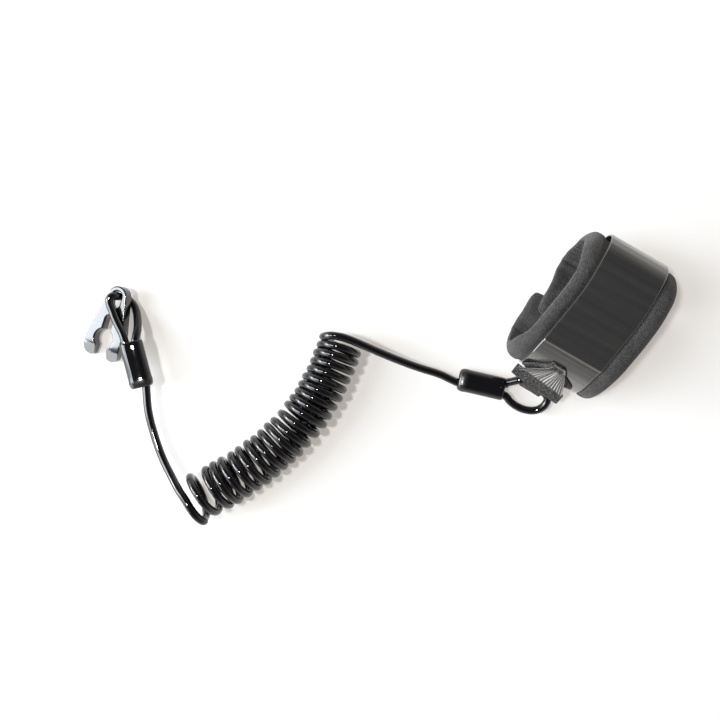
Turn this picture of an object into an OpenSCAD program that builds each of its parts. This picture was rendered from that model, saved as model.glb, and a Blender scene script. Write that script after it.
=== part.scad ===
// Kill switch lanyard: snap clip, coiled safety cord and padded wrist band.
// Frame: millimetres, +Z up, origin on the flat underside of the wrist band, +X along the band's axis.

/* [Wrist band] */
// Length of the band over the strap
band_len = 91; // [80:1:110]
// Height of the band as it lies
band_h = 48; // [44:1:56]
// Width of the foam pad
pad_w = 64; // [54:1:80]
// Thickness of the foam pad
pad_t = 6; // [4:0.5:7]
// Length by which one end of the pad covers the other
pad_overlap = 12; // [6:1:18]
// Sideways drift of the wrap between its two bends
wrap_drift = 7; // [0:0.5:10]

/* [Strap] */
// Width of the strap
strap_w = 38; // [25:1:44]
// Thickness of the strap
strap_t = 1.5; // [1:0.1:2]
// Length of the hook and loop patches
patch_len = 20; // [12:1:24]
// Thickness of each patch
patch_t = 1; // [0.8:0.1:1.2]

/* [Webbing tab] */
// Thickness of the webbing
web_t = 1.2; // [0.8:0.1:1.4]
// Width of the webbing at its flared crest
web_w = 33; // [25:1:38]
// Width of the fold that holds the cord
fold_w = 14; // [12:1:18]
// Width of the gathered root on the strap
root_w = 9; // [8:1:20]

/* [Cord] */
// Diameter of the cord
cord_d = 5; // [4.5:0.1:5.2]
// Running clearance round the cord where it swings
cord_gap = 0.3; // [0.2:0.05:0.5]

/* [Crimps] */
// Length of the sleeves
sleeve_len = 29; // [26:1:32]
// Width of the sleeves
sleeve_w = 14.6; // [13.2:0.1:15]
// Thickness of the sleeves
sleeve_h = 10; // [9:0.1:11]
// Depth of the open skirt at the lead end
skirt = 2.5; // [1:0.5:4]
// Length of sleeve in front of the crimp
sleeve_lip = 4; // [3:0.5:6]
// Wall of the crimp
crimp_wall = 0.7; // [0.5:0.1:0.9]

/* [Clip] */
// Thickness of the clip
clip_t = 7; // [5:0.5:7]
// Diameter of the seat for the switch's neck
seat_d = 12.8; // [11:0.2:14]
// Distance from the eye to the seat
seat_reach = 28; // [27:0.5:32]
// Width of the narrow slot behind the seat
slot_w = 5.8; // [4:0.2:7]
// Width of the mouth between the tips
mouth_w = 9; // [7:0.2:10]
// Width of each leg beside the seat
leg_w = 6.2; // [5:0.1:8]
// Diameter of the ring round the eye
ring_d = 12.8; // [12.4:0.1:15]
// Width of the oblong eye
eye_w = 6.8; // [6.2:0.1:7.4]
// Distance between the two round ends of the eye
eye_travel = 4.2; // [2:0.2:5]
// Rounding of the legs where they turn towards the tips
flank_r = 16; // [10:1:20]
// Rounding of the clip's edges
edge_r = 1.2; // [0.8:0.1:2]
// Depth of the ramp at the tips
ramp = 3; // [1:0.5:3.5]
// Length of the ramp at the tips
ramp_run = 7.5; // [5:0.5:9]

/* [Hidden] */
touch = 0.05;
cord_r = cord_d / 2;

// The band is a flattened loop: two straight walls joined by two half circles.
bend_r = band_h / 2;
half_flat = (band_len - band_h) / 2;
bend_arc = PI * bend_r;
loop_len = 4 * half_flat + 2 * bend_arc;
closure_lift = strap_t + 2 * patch_t;
patch_mid = -3;
strap_start = patch_mid - patch_len / 2 - 1;
strap_stop = patch_mid + patch_len / 2 + 1;
pad_gap = 0.3;
ramp_len = 18;

// The cord's loop hangs in the tab, parallel to the band's axis.
fold_at = [-6, -half_flat - bend_r - 7.5, 13];
fold_r = cord_r + cord_gap;
root_angle = 132;
crest_at = 5;
crest_len = 5;
stitch_t = 0.8;

// Each crimp is placed by the middle of its mouth and the middle of its lead end.
band_mouth = [-19.4, -63.5, 8.5];
band_tail = [-46.8, -71.9, 7];
clip_mouth = [-234.4, -153.4, 16.5];
clip_tail = [-214.4, -174.1, 15];
strand_off = cord_r + 0.1;
crimp_mid = 10;
mouth_lead = 1.5;

// The clip hangs by its eye, one tip on the table and its face rolled to one side.
eye_at = [-256.2, -133.3, 9.4];
clip_yaw = 10;
clip_pitch = 6;
clip_roll = 11;

coil_r0 = 16.2;
coil_r1 = 14.6;

// Points of the cord's free stretches, chosen by hand.
BAND_LOOP = [[-18.4, -60, 9.1], [-17.4, -58.2, 10.2], [-16.6, -56.2, 11.4], [-15.7, -54.5, 12.4], [-14.5, -53.3, 12.9]];
BAND_OUT = [[3.6, -53.4, 12.9], [5.8, -55, 12.3], [6.8, -57.9, 11.4], [6.3, -61.6, 10.3], [4.1, -64.9, 9.1],
    [-0.3, -67.3, 8], [-6.1, -68.2, 7.5], [-12.2, -67.4, 7.9]];
BAND_RUN = [[-58.8, -75.4, 8.2], [-71.8, -78.3, 11.3], [-85.1, -80.7, 15.6], [-98.3, -82.6, 20.2], [-108.2, -83.8, 23.6],
    [-114, -84.4, 25.4], [-118, -84.9, 26.2]];
CLIP_RUN = [[-204, -185.2, 14.4], [-193, -196.4, 14.6], [-181, -206, 16], [-171, -211.6, 19],
    [-162, -215.6, 23.6], [-156, -218, 25.4], [-151, -220, 26]];
COIL_AXIS = [[-153.5, -220.5], [-148.5, -212], [-143, -203.5], [-137, -193], [-131.5, -182], [-127.3, -172],
    [-124, -162], [-121.4, -153], [-119.6, -144], [-118.5, -135], [-118, -126], [-118.3, -117],
    [-119, -108], [-120.1, -99.5], [-121.4, -91.5], [-122.8, -81.5]];

function unit(v) = v / norm(v);
function ease(t) = let (u = min(1, max(0, t))) u * u * (3 - 2 * u);

// Closed skin over a list of rings with equal numbers of points
module skin(rings) {
    n = len(rings[0]);
    m = len(rings);
    sides = [for (i = [0:m - 2]) for (j = [0:n - 1])
        let (a = i * n + j, b = i * n + (j + 1) % n, c = b + n, d = a + n) each [[a, b, c], [a, c, d]]];
    caps = [[for (j = [n - 1:-1:0]) j], [for (j = [0:n - 1]) (m - 1) * n + j]];
    polyhedron([for (r = rings) each r], concat(sides, caps), convexity = 8);
}

// Round tube through points; ref is a direction that the route never follows
module tube(route, r, ref, sides = 12) {
    last = len(route) - 1;
    rings = [for (i = [0:last]) let (
        t = unit(route[min(last, i + 1)] - route[max(0, i - 1)]),
        u = unit(cross(ref, t)),
        v = cross(t, u),
        k = is_list(r) ? r[i] : r)
        [for (j = [0:sides - 1]) let (a = 360 * (j + 0.5) / sides) route[i] + k * (cos(a) * u + sin(a) * v)]];
    skin(rings);
}

// Point of the band's section at arc length s from the middle of the lower wall, depth e inwards
function wall_at(s, e) =
    let (far = half_flat + bend_arc, near = far + 2 * half_flat, low = near + bend_arc)
    s < half_flat ? [s, e]
    : s < far ? let (a = (s - half_flat) / bend_r * 180 / PI - 90)
        [half_flat + (bend_r - e) * cos(a), bend_r + (bend_r - e) * sin(a)]
    : s < near ? [half_flat - (s - far), band_h - e]
    : s < low ? let (a = (s - near) / bend_r * 180 / PI + 90)
        [-half_flat + (bend_r - e) * cos(a), bend_r + (bend_r - e) * sin(a)]
    : [s - loop_len, e];

function drift_at(s) =
    let (from = half_flat + bend_arc / 2, to = from + bend_arc + 2 * half_flat)
    wrap_drift * (0.5 - ease((s - from) / (to - from)));

// Stations along the wrap from s0 to s1: close together round the bends and on the ramps
function stations(s0, s1) =
    let (far = half_flat + bend_arc, near = far + 2 * half_flat, low = near + bend_arc, bend_n = 12)
    concat([for (s = [s0:3:half_flat - 1]) s],
        [for (i = [0:bend_n]) half_flat + i * bend_arc / bend_n],
        [for (i = [1:3]) far + i * half_flat / 2],
        [for (i = [0:bend_n]) near + i * bend_arc / bend_n],
        [for (i = [1:7]) low + i * (s1 - low) / 7]);

// How far the inner strap end stands above the outer one
function closure_at(s) = closure_lift * (1 - ease((s - strap_stop - 1) / (half_flat - strap_stop - 1)));
function over_at(s) = (pad_t + pad_gap) * (1 - ease((s - 3) / ramp_len));
function under_at(s) = closure_lift * ease((s - loop_len + half_flat) / (half_flat + strap_start - 0.5));

// Lift of the pad off the outer strap: first end over, second end under
function pad_lift(s) = s < half_flat ? closure_at(s) + over_at(s) : s > loop_len - half_flat ? under_at(s) : 0;

// Rectangle or rounded bar in the plane of width and depth
function bar(w, t, r, steps) = [for (k = [0:3]) for (i = [0:steps]) let (
    a = 90 * k + 90 * i / steps,
    cx = (k == 0 || k == 3 ? 1 : -1) * (w / 2 - r),
    cy = (k < 2 ? 1 : -1) * (t / 2 - r)) [cx + r * cos(a), cy + r * sin(a)]];

module wrist_pad() {
    section = bar(pad_w, pad_t, pad_t / 2 - 0.01, 4);
    color([0.17, 0.17, 0.18])
    skin([for (s = stations(-pad_overlap, loop_len)) [for (q = section)
        let (e = strap_t + pad_t / 2 - q[1], p = wall_at(s, e))
        [drift_at(s) + q[0], p[0], p[1] + pad_lift(s)]]]);
}

module tape(s_list, w, e0, e1, lift) {
    skin([for (i = [0:len(s_list) - 1]) let (s = s_list[i], x = drift_at(s), a = wall_at(s, e0), b = wall_at(s, e1))
        [[x + w / 2, a[0], a[1] + lift[i]], [x - w / 2, a[0], a[1] + lift[i]],
         [x - w / 2, b[0], b[1] + lift[i]], [x + w / 2, b[0], b[1] + lift[i]]]]);
}

module wrist_strap() {
    list = stations(strap_start, loop_len + strap_stop);
    color([0.2, 0.2, 0.2])
    tape(list, strap_w, 0, strap_t, [for (s = list) s < half_flat ? closure_at(s) : 0]);
}

module patch(depth) {
    list = [for (i = [0:1]) patch_mid + (i - 0.5) * patch_len];
    tape(list, strap_w - 2, depth, depth + patch_t, [0, 0]);
}

module hook_patch() { color([0.12, 0.12, 0.12]) patch(strap_t); }
module loop_patch() { color([0.16, 0.16, 0.16]) patch(strap_t + patch_t); }

// Webbing tab: two layers from a root on the strap to a fold round the cord.
// In the plane of Y and Z the near bend is a circle about bend_c and the fold one about fold_c.
bend_c = [-half_flat, bend_r];
fold_c = [fold_at[1], fold_at[2]];
gap_v = fold_c - bend_c;
gap_a = atan2(gap_v[1], gap_v[0]) + 360;
inner_on = bend_r + touch + web_t / 2;
outer_on = inner_on + web_t + touch;
fold_on = fold_r + web_t / 2;
cross_a = gap_a - acos((inner_on + fold_on) / norm(gap_v));
outer_a = gap_a - acos((outer_on - fold_on) / norm(gap_v));
function on_circle(c, r, a) = c + r * [cos(a), sin(a)];

// Middle lines of the two layers, from the fold to the root
inner_line = concat([for (a = [172, 180]) on_circle(fold_c, fold_on, cross_a + a)],
    [for (i = [0:5]) on_circle(bend_c, inner_on, cross_a + (root_angle - cross_a) * i / 5)]);
outer_line = concat([for (a = [8, 0]) on_circle(fold_c, fold_on, outer_a + a)],
    [for (i = [0:5]) on_circle(bend_c, outer_on, outer_a + (root_angle - outer_a) * i / 5)]);

module ribbon(line, t) {
    last = len(line) - 1;
    side = [for (i = [0:last]) let (d = unit(line[min(last, i + 1)] - line[max(0, i - 1)])) [-d[1], d[0]] * t / 2];
    polygon(concat([for (i = [0:last]) line[i] + side[i]], [for (i = [last:-1:0]) line[i] - side[i]]));
}

// Turns a drawing in Y and Z into a slab of width w about x0
module slab(x0, w) {
    translate([x0 - w / 2, 0, 0]) rotate([90, 0, 90]) linear_extrude(w) children();
}

module fold_round() {
    translate(fold_c) difference() {
        circle(r = fold_r + web_t, $fn = 48);
        circle(r = fold_r, $fn = 48);
        polygon([[0, 0], 3 * fold_r * [cos(outer_a), sin(outer_a)], 4 * fold_r * [cos(outer_a - 50), sin(outer_a - 50)],
            3 * fold_r * [cos(cross_a - 180), sin(cross_a - 180)]]);
    }
}

module webbing_tab() {
    from = on_circle(fold_c, fold_on, outer_a);
    leg = on_circle(bend_c, outer_on, outer_a) - from;
    root_at = norm(leg);
    color([0.3, 0.3, 0.3]) {
        slab(fold_at[0], fold_w) fold_round();
        intersection() {
            slab(fold_at[0], web_w + 2) union() {
                ribbon(inner_line, web_t);
                ribbon(outer_line, web_t);
            }
            translate([fold_at[0], from[0], from[1]]) rotate([atan2(leg[1], leg[0]), 0, 0])
                linear_extrude(4 * bend_r, center = true) polygon([
                    [-fold_w / 2, -2 * fold_r], [-fold_w / 2, crest_at - 2], [-web_w / 2, crest_at],
                    [-web_w / 2, crest_at + crest_len], [-root_w / 2, root_at], [-root_w / 2, root_at + bend_r],
                    [root_w / 2, root_at + bend_r], [root_w / 2, root_at], [web_w / 2, crest_at + crest_len],
                    [web_w / 2, crest_at], [fold_w / 2, crest_at - 2], [fold_w / 2, -2 * fold_r]]);
        }
    }
}

// Bar tack: a raised band of thread across the root of the tab
module tab_stitching() {
    color([0.08, 0.08, 0.08]) slab(fold_at[0], root_w - 2)
        ribbon([for (i = [0:3]) on_circle(bend_c, outer_on + web_t / 2 + touch + stitch_t / 2, root_angle + 8 - 2 * i)], stitch_t);
}

// Crimp frame: x across the two strands, y through the thickness, z from the mouth to the lead end
module at_crimp(mouth, tail) {
    d = unit(tail - mouth);
    w = unit(cross([0, 0, 1], d));
    h = cross(d, w);
    multmatrix([[w[0], h[0], d[0], mouth[0]], [w[1], h[1], d[1], mouth[1]], [w[2], h[2], d[2], mouth[2]], [0, 0, 0, 1]])
        children();
}

module racetrack(half_w, half_h, length) {
    for (x = [-1, 1]) translate([x * (half_w - half_h), 0, 0]) cylinder(r = half_h, h = length, $fn = 48);
    translate([-(half_w - half_h), -half_h, 0]) cube([2 * (half_w - half_h), 2 * half_h, length]);
}

crimp_hw = strand_off + cord_r + 0.1 + crimp_wall;
crimp_hh = cord_r + 0.1 + crimp_wall;
crimp_len = sleeve_len - skirt - sleeve_lip;

module strand_bores(length) {
    for (x = [-1, 1]) translate([x * strand_off, 0, -1]) cylinder(r = cord_r + 0.1, h = length + 2, $fn = 48);
    translate([-strand_off, -cord_r / 2, -1]) cube([2 * strand_off, cord_r, length + 2]);
}

module crimp() {
    difference() {
        translate([0, 0, sleeve_lip]) racetrack(crimp_hw, crimp_hh, crimp_len);
        strand_bores(sleeve_len);
    }
}

// Moulded sleeve: oval bar with a rounded shoulder at the mouth and a slightly flared skirt
function sleeve_size(t) = [0.72, 0.9, 0.97, 0.97, 0.98, 1, 0.99, 0.93][t];
sleeve_z = [0, 0.9, 2.4, 9, sleeve_len - 8, sleeve_len - 3, sleeve_len - 0.9, sleeve_len];
module sleeve() {
    difference() {
        skin([for (i = [0:7]) [for (a = [0:15:345]) let (k = sleeve_size(i), c = cos(a), s = sin(a))
            [sleeve_w / 2 * (i == 0 ? k + 0.2 : k) * sign(c) * pow(abs(c), 0.75),
             sleeve_h / 2 * k * sign(s) * pow(abs(s), 0.75), sleeve_z[i]]]]);
        strand_bores(sleeve_len);
        translate([0, 0, sleeve_lip]) racetrack(crimp_hw, crimp_hh, sleeve_len);
    }
}

module band_sleeve() { color([0.06, 0.06, 0.06]) at_crimp(band_mouth, band_tail) sleeve(); }
module clip_sleeve() { color([0.06, 0.06, 0.06]) at_crimp(clip_mouth, clip_tail) sleeve(); }
module band_crimp() { color([0.12, 0.12, 0.12]) at_crimp(band_mouth, band_tail) crimp(); }
module clip_crimp() { color([0.12, 0.12, 0.12]) at_crimp(clip_mouth, clip_tail) crimp(); }

// Place in a crimp: side is -1 or 1, z the distance from its mouth
function in_crimp(mouth, tail, side, z) =
    let (d = unit(tail - mouth), w = unit(cross([0, 0, 1], d))) mouth + side * strand_off * w + z * d;

module band_loop() {
    color([0.05, 0.05, 0.05]) tube(concat(
        [for (z = [sleeve_len - skirt, crimp_mid, 0, -mouth_lead]) in_crimp(band_mouth, band_tail, -1, z)],
        BAND_LOOP,
        [for (x = [-fold_w / 2 - 0.5, fold_w / 2 + 0.5]) fold_at + [x, 0, 0]],
        BAND_OUT,
        [for (z = [-mouth_lead, 0, crimp_mid, sleeve_len - skirt]) in_crimp(band_mouth, band_tail, 1, z)]),
        cord_r, [0, 0, 1]);
}

module band_lead() {
    color([0.05, 0.05, 0.05]) tube(concat(
        [for (z = [0, 1]) in_crimp(band_mouth, band_tail, 1, sleeve_len - skirt + z)],
        [in_crimp(band_mouth, band_tail, 0.6, sleeve_len + 3)], BAND_RUN), cord_r, [0, 0, 1]);
}

module clip_lead() {
    color([0.05, 0.05, 0.05]) tube(concat(
        [for (z = [sleeve_len - skirt, sleeve_len + 3]) in_crimp(clip_mouth, clip_tail, 1, z)],
        CLIP_RUN), cord_r, [0, 0, 1]);
}

module cord_coil() {
    last = len(COIL_AXIS) - 1;
    radius = [for (i = [0:last]) coil_r0 + (coil_r1 - coil_r0) * i / last];
    color([0.07, 0.07, 0.07])
    tube([for (i = [0:last]) [COIL_AXIS[i][0], COIL_AXIS[i][1], radius[i] * cos(15)]], radius, [0, 0, 1]);
}

// Clip frame: origin in the eye, x across the legs, y towards the tips, z out of its face
module at_clip() {
    translate(eye_at) rotate([0, 0, 180 + clip_yaw]) rotate([-clip_pitch, 0, 0]) rotate([0, clip_roll, 0]) children();
}

// Corner of an outline rounded to radius r, as points on an arc
function fillet(p, q, s, r, steps) =
    let (u = unit(p - q), v = unit(s - q), half = acos(u * v) / 2, reach = r / tan(half),
        c = q + unit(u + v) * r / sin(half), a0 = atan2((q + u * reach - c)[1], (q + u * reach - c)[0]),
        a1 = atan2((q + v * reach - c)[1], (q + v * reach - c)[0]), turn = (a1 - a0 + 540) % 360 - 180)
    [for (i = [0:steps]) c + r * [cos(a0 + turn * i / steps), sin(a0 + turn * i / steps)]];

// Outline of one half of the clip, from the top of the ring round the leg to the crotch.
// The last two corners lie inside the seat, which cuts them away.
ring_r = ring_d / 2;
seat_r = seat_d / 2;
tip_y = seat_reach + seat_d - 0.3;
leg_out = seat_r + leg_w;
crotch_y = eye_travel + eye_w / 2 + 5;
flank = [leg_out, seat_reach - 4];
toe_out = [leg_out - 0.4, tip_y];
toe_in = [mouth_w / 2, tip_y];
mouth = [mouth_w / 2 - 0.8, seat_reach + 0.4 * seat_r];
slot = [slot_w / 2, seat_reach - 0.56 * seat_r];
ring_end = atan2(flank[1], flank[0]) - acos(ring_r / norm(flank));
half_outline = concat(
    [for (i = [0:9]) let (a = -90 + (ring_end + 90) * i / 9) ring_r * [cos(a), sin(a)]],
    fillet(ring_r * [cos(ring_end), sin(ring_end)], flank, toe_out, flank_r, 4),
    fillet(flank, toe_out, toe_in, 4.2, 5),
    fillet(toe_out, toe_in, mouth, 2.2, 4),
    [mouth, slot],
    [for (i = [0:5]) [0, crotch_y + slot_w / 2] + slot_w / 2 * [cos(18 * i), -sin(18 * i)]]);
whole_outline = concat(half_outline,
    [for (i = [len(half_outline) - 2:-1:1]) [-half_outline[i][0], half_outline[i][1]]]);

// The outline moved inwards by the same distance all round
function inset(points, d) = let (n = len(points)) [for (i = [0:n - 1])
    let (a = unit(points[i] - points[(i + n - 1) % n]), b = unit(points[(i + 1) % n] - points[i]), t = unit(a + b))
    points[i] + d * [-t[1], t[0]] / max(0.7, t * b)];

module switch_clip() {
    levels = concat([[edge_r, -clip_t]],
        [for (k = [-90:30:0]) [edge_r * (1 - cos(k)), edge_r * (1 + sin(k)) - clip_t / 2]],
        [for (k = [0:30:90]) [edge_r * (1 - cos(k)), clip_t / 2 - edge_r * (1 - sin(k))]],
        [[edge_r, clip_t]]);
    color([0.05, 0.05, 0.06]) at_clip() difference() {
        intersection() {
            skin([for (k = levels) [for (p = inset(whole_outline, k[0])) [p[0], p[1], k[1]]]]);
            translate([-2 * leg_out, -tip_y, -clip_t / 2]) cube([4 * leg_out, 3 * tip_y, clip_t]);
        }
        translate([0, seat_reach, -clip_t]) cylinder(r = seat_r, h = 2 * clip_t, $fn = 64);
        for (y = [0, eye_travel]) translate([0, y, -clip_t]) cylinder(d = eye_w, h = 2 * clip_t, $fn = 48);
        translate([-eye_w / 2, 0, -clip_t]) cube([eye_w, eye_travel, 2 * clip_t]);
        translate([-2 * leg_out, tip_y - ramp_run, clip_t / 2]) rotate([-atan(ramp / ramp_run), 0, 0])
            cube([4 * leg_out, 2 * ramp_run, clip_t]);
    }
}

// The cord passes through the eye along the clip's thickness, bulges to the left and returns to the crimp.
CLIP_FRONT = [
    [-240.7, -152, 16.4], [-245.3, -149, 16.1], [-250, -145.8, 15.8], [-253.7, -142.7, 15.7],
    [-256.9, -140.2, 15.5], [-258.7, -137.7, 15.5], [-258.6, -135.3, 15.4], [-257.6, -134.2, 14.4],
    [-256.8, -133.8, 12.9], [-256.2, -133.3, 9.4]];
CLIP_BACK = [
    [-255.7, -132.9, 6.3], [-254.8, -132.7, 4.8], [-253.3, -132.7, 3.7], [-251.2, -133.1, 3.5],
    [-247.8, -134.1, 4], [-244.1, -136.3, 5.4], [-240.3, -139.6, 8.2], [-236.7, -143.4, 11.6],
    [-234.1, -147.1, 14.6]];

module clip_loop() {
    color([0.05, 0.05, 0.05]) tube(concat(
        [for (z = [sleeve_len - skirt, crimp_mid, 0, -mouth_lead]) in_crimp(clip_mouth, clip_tail, -1, z)],
        CLIP_FRONT, CLIP_BACK,
        [for (z = [-mouth_lead, 0, crimp_mid, sleeve_len - skirt]) in_crimp(clip_mouth, clip_tail, 1, z)]),
        cord_r, unit([0.75, 0.66, 0]));
}

wrist_pad();
wrist_strap();
hook_patch();
loop_patch();
webbing_tab();
tab_stitching();
band_loop();
band_crimp();
band_sleeve();
band_lead();
cord_coil();
clip_lead();
clip_loop();
clip_crimp();
clip_sleeve();
switch_clip();
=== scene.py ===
"""Kill switch lanyard: forked snap clip, coiled safety cord and padded wrist band."""
import math

import bmesh
import bpy
from mathutils import Matrix, Vector, noise


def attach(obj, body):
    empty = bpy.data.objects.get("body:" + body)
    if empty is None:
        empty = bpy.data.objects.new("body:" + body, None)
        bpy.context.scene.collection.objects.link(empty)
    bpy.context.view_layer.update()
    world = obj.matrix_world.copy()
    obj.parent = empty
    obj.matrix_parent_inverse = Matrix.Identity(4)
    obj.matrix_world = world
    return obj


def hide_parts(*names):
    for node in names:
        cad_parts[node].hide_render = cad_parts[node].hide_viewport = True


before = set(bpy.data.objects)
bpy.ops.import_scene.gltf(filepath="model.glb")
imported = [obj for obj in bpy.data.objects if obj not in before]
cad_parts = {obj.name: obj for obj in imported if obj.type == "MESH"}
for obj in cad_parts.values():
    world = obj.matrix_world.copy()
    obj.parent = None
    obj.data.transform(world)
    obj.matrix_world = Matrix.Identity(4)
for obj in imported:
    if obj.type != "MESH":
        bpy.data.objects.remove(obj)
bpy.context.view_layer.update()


# Camera
# The photograph looks straight down from 460 mm above the table. The band lies at the right of
# the picture and the clip at the left, so +X of the part runs down and to the right in it.
bpy.ops.object.camera_add(location=(-0.1066, -0.0926, 0.460), rotation=(0, 0, math.radians(30)))
camera = bpy.context.object
camera.data.sensor_width = 36
camera.data.lens = 36.1
camera.data.clip_start = 0.01
camera.data.dof.use_dof = False
bpy.context.scene.camera = camera


# Cord
# The real cord is one length of 5 mm line with a glossy extruded jacket. It is doubled through the
# tab of the band and the eye of the clip, crimped at both, and its middle is heat-set as a coil.
cord_radius = 0.0025
strand_offset = 0.0026
band_mouth, band_tail = Vector((-0.0194, -0.0635, 0.0085)), Vector((-0.0468, -0.0719, 0.007))
clip_mouth, clip_tail = Vector((-0.2344, -0.1534, 0.0165)), Vector((-0.2144, -0.1741, 0.015))


def spots(*points):
    return [Vector(point) * 0.001 for point in points]


def in_sleeve(mouth, tail, side, depths):
    """Places of one strand in its sleeve: the strands part at the mouth and close up at the far end."""
    forward = (tail - mouth).normalized()
    across = Vector((0, 0, 1)).cross(forward).normalized()
    places = []
    for depth in depths:
        apart = 1.25 + 0.12 * max(0, -depth) if depth < 3 else 0.6 if depth > 30 else 1
        places.append(mouth + side * strand_offset * apart * across + 0.001 * depth * forward)
    return places


def curve_place(points, lengths, s):
    """Place on a smooth curve through the points, at length s from its start."""
    i = 0
    while i < len(points) - 2 and s > lengths[i + 1]:
        i += 1
    u = (s - lengths[i]) / (lengths[i + 1] - lengths[i])
    if u < 0 or u > 1:
        return points[i].lerp(points[i + 1], u)
    b, c = points[i], points[i + 1]
    a = points[i - 1] if i else b * 2 - c
    d = points[i + 2] if i + 2 < len(points) else c * 2 - b
    return 0.5 * (2 * b + (c - a) * u + (2 * a - 5 * b + 4 * c - d) * u ** 2 + (3 * b - a - 3 * c + d) * u ** 3)


def running_lengths(points):
    total, found = 0, [0]
    for a, b in zip(points, points[1:]):
        total += (b - a).length
        found.append(total)
    return found


band_loop = spots((-20, -58.9, 9.1), (-18.2, -57.2, 10.2), (-16.6, -55.5, 11.4), (-15, -54, 12.4),
                  (-12.6, -53.1, 12.9), (-6, -53, 13), (0, -53.1, 13), (3.6, -53.6, 12.9), (6, -55.2, 12.3),
                  (6.9, -58, 11.4), (6.3, -61.6, 10.3), (4.1, -64.9, 9.1), (-0.3, -67.5, 8),
                  (-6.1, -68.6, 7.5), (-12, -68.1, 7.7))
band_run = spots((-58.8, -75.4, 8.2), (-71.8, -78.3, 11.3), (-85.1, -80.7, 15.6), (-98.3, -82.6, 20.2),
                 (-108.2, -83.8, 23.6), (-114, -84.5, 25.4), (-118.6, -85.2, 26.3), (-124, -86.5, 26.8),
                 (-129.6, -88.8, 25.6), (-133, -91.4, 20.6))
clip_run = spots((-139.9, -225.2, 20.6), (-143.3, -224.2, 24), (-148.7, -221.7, 26), (-156, -218, 25.4),
                 (-162, -215.6, 23.6), (-171, -211.6, 19), (-181, -206, 16), (-193, -196.4, 14.6),
                 (-204, -185.2, 14.4))
clip_loop = spots((-234.1, -147.1, 14.6), (-236.7, -143.4, 11.6), (-240.3, -139.6, 8.2),
                  (-244.1, -136.3, 5.4), (-247.8, -134.1, 4), (-251.2, -133.1, 3.5), (-253.3, -132.7, 3.7),
                  (-254.8, -132.7, 4.8), (-255.7, -132.9, 6.3), (-256.2, -133.3, 9.4), (-256.8, -133.8, 12.9),
                  (-257.6, -134.2, 14.4), (-258.6, -135.3, 15.4), (-258.7, -137.7, 15.5),
                  (-256.9, -140.2, 15.5), (-253.7, -142.7, 15.7), (-250, -145.8, 15.8),
                  (-245.3, -149, 16.1), (-240.7, -152, 16.4))
coil_axis = spots((-153.5, -220.5, 0), (-148.5, -212, 0), (-143, -203.5, 0), (-137, -193, 0),
                  (-131.5, -182, 0), (-127.3, -172, 0), (-124, -162, 0), (-121.4, -153, 0),
                  (-119.6, -144, 0), (-118.5, -135, 0), (-118, -126, 0), (-118.3, -117, 0),
                  (-119, -108, 0), (-120.1, -99.5, 0), (-121.4, -91.5, 0), (-122.8, -81.5, 0))
axis_lengths = running_lengths(coil_axis)

# A few turns of the coil have been pulled apart: the rest lie almost side by side.
loose_turns = {1: 0.0104, 4: 0.0072, 6: 0.0069, 11: 0.0071, 12: 0.0076}
turn_places = [0.0075]
for turn in range(1, 22):
    turn_places.append(turn_places[-1] + loose_turns.get(turn, 0.00595 if turn <= 12 else 0.00567))

coil = []
for step in range(0, 345):
    angle = step * math.pi / 8
    turns = (angle - math.pi) / (2 * math.pi)
    first = min(20, max(0, math.floor(turns)))
    place = turn_places[first] + (turns - first) * (turn_places[first + 1] - turn_places[first])
    middle = curve_place(coil_axis, axis_lengths, place)
    ahead = (curve_place(coil_axis, axis_lengths, place + 0.001) - middle).normalized()
    reach = 0.0136 - 0.0016 * place / 0.142
    sag = 0.00025 * (1 + math.sin(1.9 * turns))
    right = Vector((ahead.y, -ahead.x, 0))
    coil.append(middle + Vector((0, 0, reach + cord_radius))
                + (reach - sag) * (math.cos(angle) * right - math.sin(angle) * Vector((0, 0, 1)))
                - ahead * 0.0016 * place / 0.142 * math.sin(angle))

route = (in_sleeve(band_mouth, band_tail, -1, (26.3, 18, 8, 0)) + band_loop
         + in_sleeve(band_mouth, band_tail, 1, (-2, 0, 8, 18, 27, 33)) + band_run + coil[::-1] + clip_run
         + in_sleeve(clip_mouth, clip_tail, 1, (33, 27, 18, 8, 0)) + clip_loop
         + in_sleeve(clip_mouth, clip_tail, -1, (0, 8, 18, 26.3)))

bpy.ops.object.select_all(action="DESELECT")
bpy.ops.curve.primitive_bezier_curve_add(radius=0.01)
cord = bpy.context.object
cord.name = "safety_cord"
cord.data.splines.clear()
line = cord.data.splines.new("BEZIER")
line.bezier_points.add(len(route) - 1)
for knot, point in zip(line.bezier_points, route):
    knot.co = point
    knot.handle_left_type = knot.handle_right_type = "AUTO"
cord.data.dimensions = "3D"
cord.data.resolution_u = 4
cord.data.bevel_depth = cord_radius
cord.data.bevel_resolution = 5
cord.data.use_fill_caps = True
line.use_smooth = True


def new_finish(name, colour, roughness):
    """Material with its node tree and its shader, whose constant values sit on its own sockets."""
    finish = bpy.data.materials.new(name)
    finish.use_nodes = True
    shader = finish.node_tree.nodes["Principled BSDF"]
    shader.inputs["Base Color"].default_value = (*colour, 1)
    shader.inputs["Roughness"].default_value = roughness
    return finish, finish.node_tree, shader


def add_node(tree, kind, settings=None, **values):
    """Node of that kind; settings are its own properties and values its input sockets."""
    node = tree.nodes.new(kind)
    for key, value in (settings or {}).items():
        setattr(node, key, value)
    for key, value in values.items():
        node.inputs[key.replace("_", " ")].default_value = value
    return node


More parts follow.
